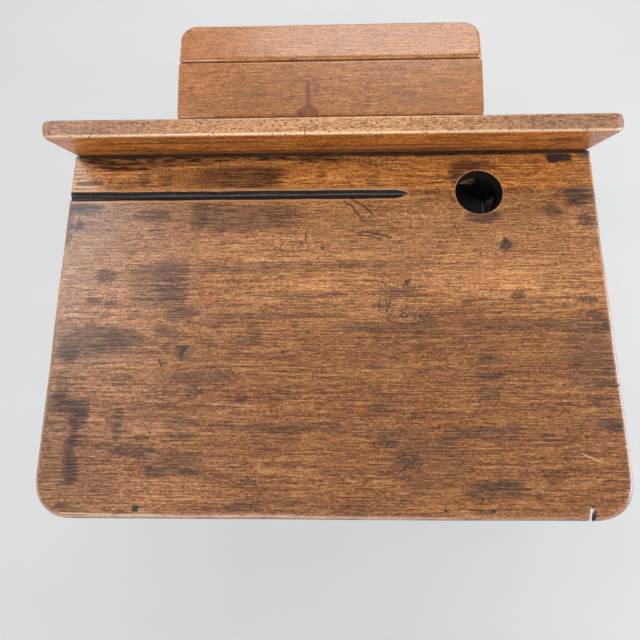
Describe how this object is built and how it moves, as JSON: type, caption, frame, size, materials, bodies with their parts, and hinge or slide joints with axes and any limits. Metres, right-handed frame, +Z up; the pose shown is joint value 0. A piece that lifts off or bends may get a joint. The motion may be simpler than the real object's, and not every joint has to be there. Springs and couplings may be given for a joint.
{
  "type": "school desk",
  "caption": "Cast-iron and wood school desk: sloped top with pencil groove and ink hole, book shelf, leaning back and folding seat in front.",
  "frame": {"origin": "on the floor, under the middle of the whole part's box", "axes": "+X to the pupil's right, +Y from the pupil towards the seat in front, +Z up"},
  "size_m": [0.61, 0.9122, 0.8184],
  "materials": {
    "wood": "waxed and worn hardwood, orange brown with dark stains, satin",
    "iron": "black japanned cast iron, dull",
    "steel": "dark aged steel screws and bolts"
  },
  "bodies": {
    "desk": {"desktop": "wood", "back_top_board": "wood", "back_middle_slat": "wood", "back_lower_slat": "wood", "book_shelf": "wood", "standard_left": "iron", "standard_right": "iron", "desktop_screw_1": "steel", "desktop_screw_2": "steel", "desktop_screw_3": "steel", "desktop_screw_4": "steel", "desktop_screw_5": "steel", "desktop_screw_6": "steel", "top_board_screw_1": "steel", "top_board_screw_2": "steel", "top_board_screw_3": "steel", "top_board_screw_4": "steel", "middle_slat_screw_1": "steel", "middle_slat_screw_2": "steel", "middle_slat_screw_3": "steel", "middle_slat_screw_4": "steel", "lower_slat_screw_1": "steel", "lower_slat_screw_2": "steel", "lower_slat_screw_3": "steel", "lower_slat_screw_4": "steel", "shelf_screw_1": "steel", "shelf_screw_2": "steel", "shelf_screw_3": "steel", "shelf_screw_4": "steel", "pivot_bolt_left": "steel", "pivot_bolt_right": "steel", "pivot_nut_left": "steel", "pivot_nut_right": "steel"},
    "seat": {"seat_board_rear": "wood", "seat_board_middle": "wood", "seat_board_front": "wood", "seat_arm_left": "iron", "seat_arm_right": "iron", "seat_screw_1": "steel", "seat_screw_2": "steel", "seat_screw_3": "steel", "seat_screw_4": "steel", "seat_screw_5": "steel", "seat_screw_6": "steel", "seat_screw_7": "steel", "seat_screw_8": "steel", "seat_screw_9": "steel", "seat_screw_10": "steel", "seat_screw_11": "steel", "seat_screw_12": "steel"}
  },
  "joints": [
    {"name": "seat_fold", "type": "hinge", "parent": "desk", "child": "seat", "pos_m": [0, 0.15828, 0.392], "axis": [1, 0, 0], "range_deg": [0, 100]}
  ]
}
